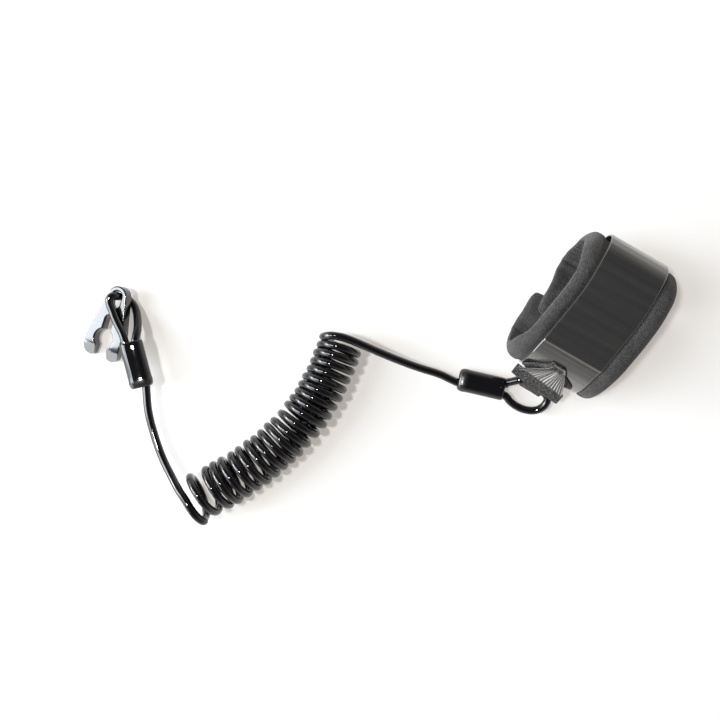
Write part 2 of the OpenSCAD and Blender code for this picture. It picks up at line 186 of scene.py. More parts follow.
def new_group(name, inputs, outputs):
    """Node group with number inputs, given with their usual values, and the named outputs."""
    group = bpy.data.node_groups.new(name, "ShaderNodeTree")
    for key, value in inputs.items():
        kind = "NodeSocketVector" if key == "Vector" else "NodeSocketFloat"
        socket = group.interface.new_socket(name=key, in_out="INPUT", socket_type=kind)
        if value is not None:
            socket.default_value = value
    for key in outputs:
        group.interface.new_socket(name=key, in_out="OUTPUT", socket_type="NodeSocketFloat")
    return group, group.nodes.new("NodeGroupInput"), group.nodes.new("NodeGroupOutput")


def use_group(tree, group, **values):
    node = add_node(tree, "ShaderNodeGroup", {"node_tree": group})
    for key, value in values.items():
        node.inputs[key.replace("_", " ")].default_value = value
    return node


# Moulded skin: slow ripples from the mould, fine grain, and handling dust that dulls the gloss.
skin_group, skin_in, skin_out = new_group(
    "moulded_skin", {"Vector": None, "Ripple size": 60.0, "Gloss": 0.15, "Dull": 0.3}, ("Roughness", "Height", "Dust"))
ripple = add_node(skin_group, "ShaderNodeTexNoise", Detail=2.0)
grain = add_node(skin_group, "ShaderNodeTexNoise", Scale=2400.0, Detail=2.0)
dust_place = add_node(skin_group, "ShaderNodeTexVoronoi", Scale=420.0, Randomness=1.0)
dust_spot = add_node(skin_group, "ShaderNodeMapRange", From_Min=0.07, From_Max=0.16, To_Min=1.0, To_Max=0.0)
dust_pick = add_node(skin_group, "ShaderNodeTexNoise", Scale=90.0, Detail=1.0)
dust_share = add_node(skin_group, "ShaderNodeMapRange", From_Min=0.58, From_Max=0.66)
dust = add_node(skin_group, "ShaderNodeMath", {"operation": "MULTIPLY"})
wear = add_node(skin_group, "ShaderNodeMapRange", From_Min=0.35, From_Max=0.7)
fine = add_node(skin_group, "ShaderNodeMath", {"operation": "MULTIPLY"})
fine.inputs[1].default_value = 0.08
total = add_node(skin_group, "ShaderNodeMath", {"operation": "ADD"})
for node in (ripple, grain, dust_place, dust_pick):
    skin_group.links.new(skin_in.outputs["Vector"], node.inputs["Vector"])
skin_group.links.new(skin_in.outputs["Ripple size"], ripple.inputs["Scale"])
skin_group.links.new(ripple.outputs["Fac"], wear.inputs["Value"])
skin_group.links.new(skin_in.outputs["Gloss"], wear.inputs["To Min"])
skin_group.links.new(skin_in.outputs["Dull"], wear.inputs["To Max"])
skin_group.links.new(dust_place.outputs["Distance"], dust_spot.inputs["Value"])
skin_group.links.new(dust_pick.outputs["Fac"], dust_share.inputs["Value"])
skin_group.links.new(dust_spot.outputs["Result"], dust.inputs[0])
skin_group.links.new(dust_share.outputs["Result"], dust.inputs[1])
skin_group.links.new(grain.outputs["Fac"], fine.inputs[0])
skin_group.links.new(fine.outputs["Value"], total.inputs[0])
skin_group.links.new(ripple.outputs["Fac"], total.inputs[1])
skin_group.links.new(wear.outputs["Result"], skin_out.inputs["Roughness"])
skin_group.links.new(total.outputs["Value"], skin_out.inputs["Height"])
skin_group.links.new(dust.outputs["Value"], skin_out.inputs["Dust"])


def gloss_finish(name, colour, dust_colour, gloss, dull, ripple_size, bump):
    """Glossy black plastic: the moulded skin with its dust over one colour."""
    finish, tree, shader = new_finish(name, colour, gloss)
    place = add_node(tree, "ShaderNodeTexCoord")
    skin = use_group(tree, skin_group, Ripple_size=ripple_size, Gloss=gloss, Dull=dull)
    tint = add_node(tree, "ShaderNodeMix", {"data_type": "RGBA"})
    tint.inputs["A"].default_value = (*colour, 1)
    tint.inputs["B"].default_value = (*dust_colour, 1)
    relief = add_node(tree, "ShaderNodeBump", Strength=bump, Distance=0.0004)
    tree.links.new(place.outputs["Object"], skin.inputs["Vector"])
    tree.links.new(skin.outputs["Dust"], tint.inputs["Factor"])
    tree.links.new(tint.outputs["Result"], shader.inputs["Base Color"])
    tree.links.new(skin.outputs["Roughness"], shader.inputs["Roughness"])
    tree.links.new(skin.outputs["Height"], relief.inputs["Height"])
    tree.links.new(relief.outputs["Normal"], shader.inputs["Normal"])
    shader.inputs["Specular IOR Level"].default_value = 0.5
    shader.inputs["Coat Weight"].default_value = 0.12
    shader.inputs["Coat Roughness"].default_value = 0.03
    return finish


cord.data.materials.append(gloss_finish("cord_jacket", (0.004, 0.004, 0.005), (0.03, 0.03, 0.03), 0.03, 0.07, 140.0, 0.03))
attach(cord, "cord")
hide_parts("band_loop", "band_lead", "cord_coil", "clip_lead", "clip_loop")


# Crimps
# A short oval tube of black coated metal is squeezed on the two strands at each end of the cord.
# It sits inside its sleeve, so only its rim shows at the sleeve's open end.
crimp_coat = gloss_finish("crimp_coat", (0.016, 0.016, 0.017), (0.2, 0.2, 0.2), 0.3, 0.5, 300.0, 0.3)
for name in ("band_crimp", "clip_crimp"):
    crimp_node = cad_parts[name]
    crimp_node.data.materials.clear()
    crimp_node.data.materials.append(crimp_coat)


# Sleeves
# A glossy moulded plastic sleeve is pressed over each crimp. Its mouth has a rounded shoulder that
# hugs the two strands, and its other end is an open skirt, duller, with a lighter colour on it as a painted reflection
# of the table.
sleeve_length = 0.029
sleeve_rings = [(0.9, 0.84, 0.62), (0.25, 0.86, 0.66), (0.05, 0.9, 0.74), (0.25, 0.95, 0.84), (0.9, 0.985, 0.94),
                (2.0, 0.995, 0.985), (8, 0.99, 0.985), (15, 0.985, 0.98), (21.5, 0.985, 0.98), (23.4, 0.99, 0.99),
                (24.4, 1.015, 1.015), (26.0, 1.015, 1.01), (27.4, 0.97, 0.96), (28.4, 0.89, 0.86), (28.95, 0.8, 0.74),
                (28.8, 0.74, 0.67), (28.0, 0.76, 0.68), (26.8, 0.83, 0.72), (26.2, 0.845, 0.69), (4.2, 0.845, 0.69),
                (3.9, 0.81, 0.57)]


def only(piece):
    bpy.ops.object.select_all(action="DESELECT")
    piece.select_set(True)
    bpy.context.view_layer.objects.active = piece


def settle(piece, angle=30):
    """Doubles merged, normals outwards, smooth faces with sharp edges past the angle."""
    only(piece)
    bpy.ops.object.mode_set(mode="EDIT")
    bpy.ops.mesh.select_all(action="SELECT")
    bpy.ops.mesh.remove_doubles(threshold=0.000002)
    bpy.ops.mesh.normals_make_consistent(inside=False)
    bpy.ops.object.mode_set(mode="OBJECT")
    bpy.ops.object.shade_smooth_by_angle(angle=math.radians(angle))


def apply_all(piece):
    only(piece)
    for modifier in list(piece.modifiers):
        bpy.ops.object.modifier_apply(modifier=modifier.name)


def make_sleeve(name, mouth, tail):
    bpy.ops.object.select_all(action="DESELECT")
    bpy.ops.mesh.primitive_circle_add(vertices=32, radius=0.005, location=(0, 0, 0))
    sleeve = bpy.context.object
    sleeve.name = name
    bpy.ops.object.mode_set(mode="EDIT")
    shape = bmesh.from_edit_mesh(sleeve.data)
    for side in (-1, 1):
        bpy.ops.mesh.select_all(action="DESELECT")
        for vertex in shape.verts:
            vertex.select = side * vertex.co.x > 0.0001
        shape.select_flush(True)
        bpy.ops.transform.translate(value=(side * 0.0023, 0, 0))
    bpy.ops.mesh.select_all(action="SELECT")
    bpy.ops.transform.resize(value=(sleeve_rings[0][1], sleeve_rings[0][2], 1), center_override=(0, 0, 0))
    bpy.ops.transform.translate(value=(0, 0, 0.001 * sleeve_rings[0][0]))
    for before, after in zip(sleeve_rings, sleeve_rings[1:] + sleeve_rings[:1]):
        bpy.ops.mesh.extrude_region_move(TRANSFORM_OT_translate={"value": (0, 0, 0.001 * (after[0] - before[0]))})
        bpy.ops.transform.resize(value=(after[1] / before[1], after[2] / before[2], 1), center_override=(0, 0, 0))
    bpy.ops.object.mode_set(mode="OBJECT")
    settle(sleeve, 60)
    rounder = sleeve.modifiers.new("rounder", "SUBSURF")
    rounder.levels = rounder.render_levels = 1
    apply_all(sleeve)
    # Mask of the painted reflection: the last two millimetres or so of the skirt end.
    skirt_painted_reflection = sleeve.data.attributes.new("skirt_painted_reflection", "FLOAT", "POINT")
    for vertex in sleeve.data.vertices:
        skirt_painted_reflection.data[vertex.index].value = min(1, max(0, (vertex.co.z - 0.0235) / 0.0022))
    forward = (tail - mouth).normalized()
    across = Vector((0, 0, 1)).cross(forward).normalized()
    turned = Matrix((across, forward.cross(across), forward)).transposed().to_4x4()
    sleeve.matrix_world = Matrix.Translation(mouth) @ turned
    only(sleeve)
    bpy.ops.object.transform_apply(location=True, rotation=True, scale=True)
    return sleeve


sleeve_plastic = gloss_finish("sleeve_plastic", (0.004, 0.004, 0.005), (0.08, 0.08, 0.085), 0.03, 0.07, 110.0, 0.05)
sleeve_tree = sleeve_plastic.node_tree
sleeve_shader = sleeve_tree.nodes["Principled BSDF"]
# Painted reflection: the skirt's colour is lifted from near black to dark grey, standing in for the table mirrored in
# its rounded end; its roughness goes up too.
skirt_mask = add_node(sleeve_tree, "ShaderNodeAttribute", {"attribute_name": "skirt_painted_reflection"})
skirt_reflection_tint = add_node(sleeve_tree, "ShaderNodeMix", {"data_type": "RGBA"})
skirt_reflection_tint.inputs["B"].default_value = (0.018, 0.017, 0.017, 1)
skirt_dull = add_node(sleeve_tree, "ShaderNodeMix")
skirt_dull.inputs["B"].default_value = 0.24
sleeve_tree.links.new(skirt_mask.outputs["Fac"], skirt_reflection_tint.inputs["Factor"])
sleeve_tree.links.new(skirt_mask.outputs["Fac"], skirt_dull.inputs["Factor"])
for socket, mixer in (("Base Color", skirt_reflection_tint), ("Roughness", skirt_dull)):
    before = sleeve_shader.inputs[socket].links[0].from_socket
    sleeve_tree.links.new(before, mixer.inputs["A"])
    sleeve_tree.links.new(mixer.outputs["Result"], sleeve_shader.inputs[socket])
band_sleeve = make_sleeve("band_end_sleeve", band_mouth, band_tail)
clip_sleeve = make_sleeve("clip_end_sleeve", clip_mouth, clip_tail)
for sleeve, node in ((band_sleeve, "band_sleeve"), (clip_sleeve, "clip_sleeve")):
    sleeve.data.materials.append(sleeve_plastic)
    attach(sleeve, "cord")
    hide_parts(node)


# Snap clip
# One moulding of glossy black plastic: a ring with an oblong eye for the cord, and two springy legs
# whose round seat snaps under the cap of the switch. Ramps at the tips lift the cap on the way in.
clip_thick, clip_edge = 0.007, 0.0009
seat_reach, seat_radius = 0.028, 0.0064
ring_radius, eye_radius, eye_travel = 0.0064, 0.0034, 0.0042
leg_out, tip_y = 0.0126, 0.0405


def rounded(p, q, s, radius, steps):
    """Corner q between p and s as an arc."""
    p, q, s = Vector(p), Vector(q), Vector(s)
    u, v = (p - q).normalized(), (s - q).normalized()
    half = u.angle(v) / 2
    centre = q + (u + v).normalized() * radius / math.sin(half)
    start, end = q + u * radius / math.tan(half) - centre, q + v * radius / math.tan(half) - centre
    first = math.atan2(start.y, start.x)
    swing = (math.atan2(end.y, end.x) - first + 3 * math.pi) % (2 * math.pi) - math.pi
    return [centre + radius * Vector((math.cos(first + swing * i / steps), math.sin(first + swing * i / steps)))
            for i in range(steps + 1)]


def arc(centre, radius, start, end, steps):
    angles = [math.radians(start + (end - start) * i / steps) for i in range(steps + 1)]
    return [Vector(centre) + radius * Vector((math.cos(a), math.sin(a))) for a in angles]


flank = (leg_out, seat_reach - 0.004)
ring_end = math.degrees(math.atan2(flank[1], flank[0]) - math.acos(ring_radius / math.hypot(*flank)))
ring_last = arc((0, 0), ring_radius, ring_end, ring_end, 1)[0]
seat_top = 50
seat_low = -63
half_outline = arc((0, 0), ring_radius, -90, ring_end, 18)
half_outline += rounded(ring_last, flank, (leg_out - 0.0004, tip_y), 0.016, 10)
half_outline += rounded(flank, (leg_out - 0.0004, tip_y), (0.0045, tip_y), 0.0042, 10)
half_outline += rounded((leg_out - 0.0004, tip_y), (0.0045, tip_y), (0.0037, seat_reach + 0.0026), 0.0022, 8)
half_outline += arc((0, seat_reach), seat_radius, seat_top, seat_low, 20)
half_outline += arc((0, 0.0155), 0.0029, 0, -90, 10)
outline = half_outline[:-1] + [Vector((-p.x, p.y)) for p in half_outline[:0:-1]]
eye = arc((0, 0), eye_radius, 180, 360, 20) + arc((0, eye_travel), eye_radius, 0, 180, 20)

bpy.ops.object.select_all(action="DESELECT")
bpy.ops.curve.primitive_bezier_curve_add(radius=0.01)
clip = bpy.context.object
clip.name = "snap_clip"
clip.data.splines.clear()
for ring in (outline, eye):
    edge = clip.data.splines.new("POLY")
    edge.points.add(len(ring) - 1)
    edge.use_cyclic_u = True
    for knot, point in zip(edge.points, ring):
        knot.co = (point.x, point.y, 0, 1)
clip.data.dimensions = "2D"
clip.data.fill_mode = "BOTH"
clip.data.extrude = clip_thick / 2 - clip_edge
clip.data.bevel_depth = clip_edge
clip.data.bevel_resolution = 5
clip.data.offset = -clip_edge
only(clip)
bpy.ops.object.convert(target="MESH")
bpy.ops.object.mode_set(mode="EDIT")
bpy.ops.mesh.select_all(action="SELECT")
bpy.ops.mesh.remove_doubles(threshold=0.00001)
bpy.ops.mesh.select_all(action="SELECT")
bpy.ops.mesh.bisect(plane_co=(0, tip_y - 0.0075, clip_thick / 2), plane_no=(0, 0.3714, 0.9285), use_fill=True,
                    clear_outer=True)
bpy.ops.object.mode_set(mode="OBJECT")
settle(clip, 35)
clip.matrix_world = (Matrix.Translation((-0.2562, -0.1333, 0.0095)) @ Matrix.Rotation(math.radians(190), 4, "Z")
                     @ Matrix.Rotation(math.radians(-6), 4, "X") @ Matrix.Rotation(math.radians(11), 4, "Y"))
only(clip)
bpy.ops.object.transform_apply(location=True, rotation=True, scale=True)
clip.data.materials.clear()
clip_plastic = gloss_finish("clip_plastic", (0.010, 0.011, 0.012), (0.16, 0.17, 0.18), 0.12, 0.22, 60.0, 0.03)
clip_plastic.node_tree.nodes["Principled BSDF"].inputs["IOR"].default_value = 1.76
clip.data.materials.append(clip_plastic)
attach(clip, "clip")
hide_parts("switch_clip")


# Wrist pad
# A strip of foam covered with charcoal knit is rolled into a band that goes round the wrist. Its rims
# are turned in and sewn round the foam, its inside has a smoother lining, which here gets the same knit finish as the
# outside, and one end covers the other.
band_height, bend_radius, half_flat = 0.048, 0.024, 0.0215
bend_arc = math.pi * bend_radius
wrap_length = 4 * half_flat + 2 * bend_arc
strap_thick = 0.0015


def ease(t):
    t = min(1, max(0, t))
    return t * t * (3 - 2 * t)


def wall(s):
    """Place on the band's outer line at length s of the wrap, as Y and Z, and the direction inwards."""
    far = half_flat + bend_arc
    near = far + 2 * half_flat
    low = near + bend_arc
    if s < half_flat:
        return s, 0, 0, 1
    if s < far:
        a = (s - half_flat) / bend_radius - math.pi / 2
        return half_flat + bend_radius * math.cos(a), bend_radius + bend_radius * math.sin(a), -math.cos(a), -math.sin(a)
    if s < near:
        return half_flat - (s - far), band_height, 0, -1
    if s < low:
        a = (s - near) / bend_radius + math.pi / 2
        return -half_flat + bend_radius * math.cos(a), bend_radius + bend_radius * math.sin(a), -math.cos(a), -math.sin(a)
    return s - wrap_length, 0, 0, 1


def drift(s):
    """Sideways place of the wrap: it runs straight at first and drifts over the near half of the top."""
    start, stop = half_flat + bend_arc + 0.005, 3 * half_flat + bend_arc + 0.022
    return 0.007 * (0.5 - ease((s - start) / (stop - start)))


def bend_share(s):
    """1 round the two bends of the wrap and 0 on its straight walls."""
    far, near = half_flat + bend_arc / 2, 3 * half_flat + 1.5 * bend_arc
    return max(ease(1.15 - abs(s - middle) / (bend_arc / 2)) for middle in (far, near))


def closure(s):
    return 0.0035 * (1 - ease((s - 0.009) / (half_flat - 0.009)))


def pad_lift(s):
    if s < half_flat:
        return closure(s) + 0.0063 * (1 - ease((s - 0.003) / 0.018))
    if s > wrap_length - half_flat:
        return 0.0035 * ease((s - wrap_length + half_flat) / (half_flat - 0.0145))
    return 0


def closed_loft(name, around, along, place, lay):
    """Skin whose vertices are laid by place(u, v), u once round the section and v along the piece.
    Its UV map is the flat cloth, laid by lay(u, v, outer) in metres."""
    bpy.ops.object.select_all(action="DESELECT")
    bpy.ops.mesh.primitive_grid_add(x_subdivisions=around, y_subdivisions=along, size=1, location=(0, 0, 0))
    piece = bpy.context.object
    piece.name = name
    for vertex in piece.data.vertices:
        vertex.co = place(vertex.co.x + 0.5, vertex.co.y + 0.5)
    flat = piece.data.uv_layers.active.data
    for face in piece.data.polygons:
        outer = sum(flat[loop].uv.x for loop in face.loop_indices) > 2
        for loop in face.loop_indices:
            flat[loop].uv = lay(flat[loop].uv.x, flat[loop].uv.y, outer)
    bpy.ops.object.mode_set(mode="EDIT")
    bpy.ops.mesh.select_all(action="SELECT")
    bpy.ops.mesh.remove_doubles(threshold=0.000005)
    bpy.ops.mesh.select_all(action="DESELECT")
    bpy.ops.mesh.select_non_manifold(extend=False, use_wire=False, use_multi_face=False, use_non_contiguous=False,
                                     use_verts=False)
    bpy.ops.mesh.edge_face_add()
    bpy.ops.object.mode_set(mode="OBJECT")
    return piece


def section_point(u, half_width, half_thick, edge):
    """Point on a flat section with round edges: across from its middle, and inwards from its middle layer."""
    turn = 2 * math.pi * u
    c, s = math.cos(turn), math.sin(turn)
    across = half_width * math.copysign(abs(c) ** 0.62, c)
    left = max(0, (abs(across) - half_width + edge) / edge)
    deep = half_thick * math.copysign(1, s) * math.sqrt(max(0, 1 - left ** 2)) if abs(s) > 1e-6 else 0
    return across, deep


pad_start, pad_stop = -0.012, wrap_length
top_far, top_near = half_flat + bend_arc, 3 * half_flat + bend_arc


def pad_place(u, v):
    s = pad_start + v * (pad_stop - pad_start)
    end = min(1, min(v, 1 - v) * (pad_stop - pad_start) / 0.008)
    corner = 1 - 0.10 * (1 - math.sqrt(max(0, 1 - (1 - end) ** 2)))
    bend = bend_share(s)
    half_width = 0.0306 * corner
    if u > 0.25 and u < 0.75:
        half_width -= 0.0028 * ease((s - top_far + 0.012) / 0.02) * ease((top_near + 0.026 - s) / 0.02)
        half_width += 0.0012 * ease((half_flat + 0.022 - s) / 0.01)
    across, deep = section_point(u, half_width, 0.0029 * (0.55 + 0.45 * math.sqrt(max(0, 1 - (1 - end) ** 2))), 0.0042)
    reach = abs(across)
    outer = deep < 0
    beside = ease((reach - 0.0185) / 0.0035)
    curl = max(0, reach - 0.0235)
    depth = strap_thick + 0.00305 + deep
    depth += (0.55 + 1.2 * bend) * curl ** 2 / 0.030
    if outer:
        depth -= 0.0013 * beside * (1 - 0.5 * ease((reach - 0.026) / 0.004))
        depth += 0.0005 * (1 - beside) * ease((reach - 0.015) / 0.003)
    pucker = noise.noise(Vector((across * 90, s * 150, 3.0 + outer * 4)))
    crease = math.sin(s * 1450 + 2.0 * noise.noise(Vector((across * 60, s * 40, 0))))
    pinch = math.exp(-((s - half_flat - 0.006) / 0.0014) ** 2) + 0.8 * math.exp(-((s - wrap_length + half_flat + 0.007) / 0.002) ** 2)
    if outer:
        depth -= 0.00035 * beside * pucker
    else:
        depth += 0.0005 * pucker + 0.00045 * bend * crease * (0.4 + 0.6 * ease(reach / 0.02)) - 0.0024 * pinch
    y, z, inward_y, inward_z = wall(s)
    return Vector((drift(s) + across, y + depth * inward_y, z + depth * inward_z + pad_lift(s)))


def pad_lay(u, v, outer):
    """The knit lies flat over the outside and goes on round the rim over the inside."""
    across = section_point(u, 0.0306, 0.0029, 0.0042)[0]
    return across if outer else 0.0612 - across, pad_start + v * (pad_stop - pad_start)


pad = closed_loft("wrist_pad_foam", 72, 260, pad_place, pad_lay)
settle(pad, 80)
smoother = pad.modifiers.new("smoother", "SUBSURF")
smoother.levels = smoother.render_levels = 1
apply_all(pad)

# Lint: short pale specks that cling to knit and woven fabric.
lint_group, lint_in, lint_out = new_group("lint", {"Vector": None, "Size": 900.0, "Amount": 0.5}, ("Specks",))
lint_place = add_node(lint_group, "ShaderNodeTexVoronoi", Randomness=1.0)
lint_spot = add_node(lint_group, "ShaderNodeMapRange", From_Min=0.12, From_Max=0.24, To_Min=1.0, To_Max=0.0)
lint_pick = add_node(lint_group, "ShaderNodeTexWhiteNoise", {"noise_dimensions": "3D"})
lint_keep = add_node(lint_group, "ShaderNodeMath", {"operation": "LESS_THAN"})
lint_both = add_node(lint_group, "ShaderNodeMath", {"operation": "MULTIPLY"})
lint_group.links.new(lint_in.outputs["Vector"], lint_place.inputs["Vector"])
lint_group.links.new(lint_in.outputs["Size"], lint_place.inputs["Scale"])
lint_group.links.new(lint_place.outputs["Distance"], lint_spot.inputs["Value"])
lint_group.links.new(lint_place.outputs["Color"], lint_pick.inputs["Vector"])
lint_group.links.new(lint_pick.outputs["Value"], lint_keep.inputs[0])
lint_group.links.new(lint_in.outputs["Amount"], lint_keep.inputs[1])
lint_group.links.new(lint_spot.outputs["Result"], lint_both.inputs[0])
lint_group.links.new(lint_keep.outputs["Value"], lint_both.inputs[1])
lint_group.links.new(lint_both.outputs["Value"], lint_out.inputs["Specks"])

# Knit: small loops in rows and columns over the flat cloth, each of its own tone.
knit_group, knit_in, knit_out = new_group("knit", {"Vector": None, "Rows": 1250.0, "Columns": 950.0}, ("Height", "Shade"))
knit_split = add_node(knit_group, "ShaderNodeSeparateXYZ")
row_count = add_node(knit_group, "ShaderNodeMath", {"operation": "MULTIPLY"})
column_count = add_node(knit_group, "ShaderNodeMath", {"operation": "MULTIPLY"})
knit_join = add_node(knit_group, "ShaderNodeCombineXYZ")
knit_loops = add_node(knit_group, "ShaderNodeTexVoronoi", {"voronoi_dimensions": "2D"}, Scale=1.0, Randomness=0.55)
knit_height = add_node(knit_group, "ShaderNodeMapRange", From_Min=0.1, From_Max=0.65, To_Min=1.0, To_Max=0.0)
knit_tone = add_node(knit_group, "ShaderNodeTexWhiteNoise", {"noise_dimensions": "3D"})
knit_shade = add_node(knit_group, "ShaderNodeMix")
knit_shade.inputs["Factor"].default_value = 0.5
knit_group.links.new(knit_in.outputs["Vector"], knit_split.inputs["Vector"])
knit_group.links.new(knit_split.outputs["Y"], row_count.inputs[0])
knit_group.links.new(knit_in.outputs["Rows"], row_count.inputs[1])
knit_group.links.new(knit_split.outputs["X"], column_count.inputs[0])
knit_group.links.new(knit_in.outputs["Columns"], column_count.inputs[1])
knit_group.links.new(column_count.outputs["Value"], knit_join.inputs["X"])
knit_group.links.new(row_count.outputs["Value"], knit_join.inputs["Y"])
knit_group.links.new(knit_join.outputs["Vector"], knit_loops.inputs["Vector"])
knit_group.links.new(knit_loops.outputs["Distance"], knit_height.inputs["Value"])
knit_group.links.new(knit_loops.outputs["Color"], knit_tone.inputs["Vector"])
knit_group.links.new(knit_height.outputs["Result"], knit_shade.inputs["A"])
knit_group.links.new(knit_tone.outputs["Value"], knit_shade.inputs["B"])
knit_group.links.new(knit_height.outputs["Result"], knit_out.inputs["Height"])
knit_group.links.new(knit_shade.outputs["Result"], knit_out.inputs["Shade"])


def fabric_finish(name, dark, light, lint_colour, roughness, pattern, lint_size, lint_amount, bump, sheen):
    """Cloth whose pattern node gives Height and Shade, with uneven dye and lint over it."""
    finish, tree, shader = new_finish(name, dark, roughness)
    flat = add_node(tree, "ShaderNodeUVMap", {"uv_map": "UVMap"})
    place = add_node(tree, "ShaderNodeTexCoord")
    weave = pattern(tree, flat)
    patches = add_node(tree, "ShaderNodeTexNoise", Scale=55.0, Detail=3.0)
    uneven = add_node(tree, "ShaderNodeMath", {"operation": "MULTIPLY"})
    mixed = add_node(tree, "ShaderNodeMath", {"operation": "ADD"})
    uneven.inputs[1].default_value = 0.6
    spread = add_node(tree, "ShaderNodeMapRange", From_Min=0.15, From_Max=1.25)
    cloth = add_node(tree, "ShaderNodeMix", {"data_type": "RGBA"})
    cloth.inputs["A"].default_value = (*dark, 1)
    cloth.inputs["B"].default_value = (*light, 1)
    specks = use_group(tree, lint_group, Size=lint_size, Amount=lint_amount)
    dusted = add_node(tree, "ShaderNodeMix", {"data_type": "RGBA"})
    dusted.inputs["B"].default_value = (*lint_colour, 1)
    rough = add_node(tree, "ShaderNodeMapRange", To_Min=roughness - 0.1, To_Max=min(1, roughness + 0.1))
    relief = add_node(tree, "ShaderNodeBump", Strength=bump, Distance=0.0003)
    tree.links.new(place.outputs["Object"], patches.inputs["Vector"])
    tree.links.new(place.outputs["Object"], specks.inputs["Vector"])
    tree.links.new(patches.outputs["Fac"], uneven.inputs[0])
    tree.links.new(uneven.outputs["Value"], mixed.inputs[0])
    tree.links.new(weave.outputs["Shade"], mixed.inputs[1])
    tree.links.new(mixed.outputs["Value"], spread.inputs["Value"])
    tree.links.new(spread.outputs["Result"], cloth.inputs["Factor"])
    tree.links.new(cloth.outputs["Result"], dusted.inputs["A"])
    tree.links.new(specks.outputs["Specks"], dusted.inputs["Factor"])
    tree.links.new(dusted.outputs["Result"], shader.inputs["Base Color"])
    tree.links.new(weave.outputs["Shade"], rough.inputs["Value"])
    tree.links.new(rough.outputs["Result"], shader.inputs["Roughness"])
    tree.links.new(weave.outputs["Height"], relief.inputs["Height"])
    tree.links.new(relief.outputs["Normal"], shader.inputs["Normal"])
    shader.inputs["Sheen Weight"].default_value = sheen
    shader.inputs["Sheen Roughness"].default_value = 0.4
    return finish


def knit_pattern(tree, flat):
    weave = use_group(tree, knit_group, Rows=920.0, Columns=820.0)
    tree.links.new(flat.outputs["UV"], weave.inputs["Vector"])
    return weave


pad.data.materials.append(fabric_finish("pad_knit", (0.005, 0.0048, 0.0048), (0.056, 0.0538, 0.0535), (0.26, 0.25, 0.25),
                                        0.85, knit_pattern, 1500.0, 0.10, 0.9, 0.12))
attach(pad, "wristband")
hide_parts("wrist_pad")


# Strap
# A flat strap of satin nylon, 38 mm wide and 1.5 mm thick, goes once round the pad. Its two ends
# lie over each other under the band. It is creased across where the band was bent by hand.
strap_start, strap_stop = -0.014, wrap_length + 0.008


crease_turn = 0.32


def strap_stand(s):
    """How far the strap stands off the wrap's line: it bows out past the far end and is creased by the near one."""
    past = min(1, max(0, (top_far - s) / bend_radius / 1.8))
    bow = 0.0034 * math.sin(math.pi * past) ** 2
    turn = (s - top_near) / bend_radius
    if 0 < turn < 2 * crease_turn:
        bow += bend_radius / math.cos(min(turn, 2 * crease_turn - turn)) - bend_radius
    fold = (s - top_near) - crease_turn * bend_radius
    return bow + 0.00010 * math.cos(fold / 0.00055) * math.exp(-(fold / 0.0022) ** 2)


def strap_place(u, v):
    s = strap_start + v * (strap_stop - strap_start)
    across, deep = section_point(u, 0.019, 0.00072, 0.0008)
    depth = 0.00078 + deep - strap_stand(s)
    depth += 0.00008 * noise.noise(Vector((across * 25, s * 420, 7)))
    y, z, inward_y, inward_z = wall(s)
    lift = closure(s) if s < half_flat else 0
    return Vector((drift(s) + across, y + depth * inward_y, z + depth * inward_z + lift))


def strap_lay(u, v, outer):
    across = section_point(u, 0.019, 0.00072, 0.0008)[0]
    return across if outer else 0.038 - across, strap_start + v * (strap_stop - strap_start)


strap = closed_loft("wrist_strap_nylon", 56, 560, strap_place, strap_lay)
settle(strap, 60)

satin, satin_tree, satin_shader = new_finish("strap_satin", (0.022, 0.021, 0.020), 0.26)
satin_flat = add_node(satin_tree, "ShaderNodeUVMap", {"uv_map": "UVMap"})
satin_split = add_node(satin_tree, "ShaderNodeSeparateXYZ")
satin_stretch = add_node(satin_tree, "ShaderNodeMapping", Scale=(9.0, 1500.0, 1.0))
satin_slow = add_node(satin_tree, "ShaderNodeMapping", Scale=(9.0, 260.0, 1.0))
satin_lines = add_node(satin_tree, "ShaderNodeTexNoise", Scale=1.0, Detail=2.0)
satin_bands = add_node(satin_tree, "ShaderNodeTexNoise", Scale=1.0, Detail=1.0)
satin_tone = add_node(satin_tree, "ShaderNodeMix", {"data_type": "RGBA"})
satin_tone.inputs["A"].default_value = (0.022, 0.022, 0.022, 1)
satin_tone.inputs["B"].default_value = (0.031, 0.029, 0.028, 1)
satin_spread = add_node(satin_tree, "ShaderNodeMapRange", From_Min=0.36, From_Max=0.68)
satin_gloss = add_node(satin_tree, "ShaderNodeMapRange", From_Min=0.3, From_Max=0.7, To_Min=0.12, To_Max=0.22)
satin_side = add_node(satin_tree, "ShaderNodeMath", {"operation": "ABSOLUTE"})
# Painted highlight: past 18.7 mm from the middle, the strap is coloured lighter for the light caught along its long
# edges. Through the flat map, this also lightens its whole inner side.
satin_edge_painted_highlight = add_node(satin_tree, "ShaderNodeMapRange", From_Min=0.01872, From_Max=0.0189)
satin_seam_off = add_node(satin_tree, "ShaderNodeMath", {"operation": "SUBTRACT"})
satin_seam_off.inputs[1].default_value = 0.0114
satin_seam_near = add_node(satin_tree, "ShaderNodeMath", {"operation": "ABSOLUTE"})
satin_seam = add_node(satin_tree, "ShaderNodeMapRange", From_Min=0.0001, From_Max=0.00025, To_Min=0.14, To_Max=0.0)
satin_edge_highlight_and_seam = add_node(satin_tree, "ShaderNodeMath", {"operation": "MAXIMUM"})
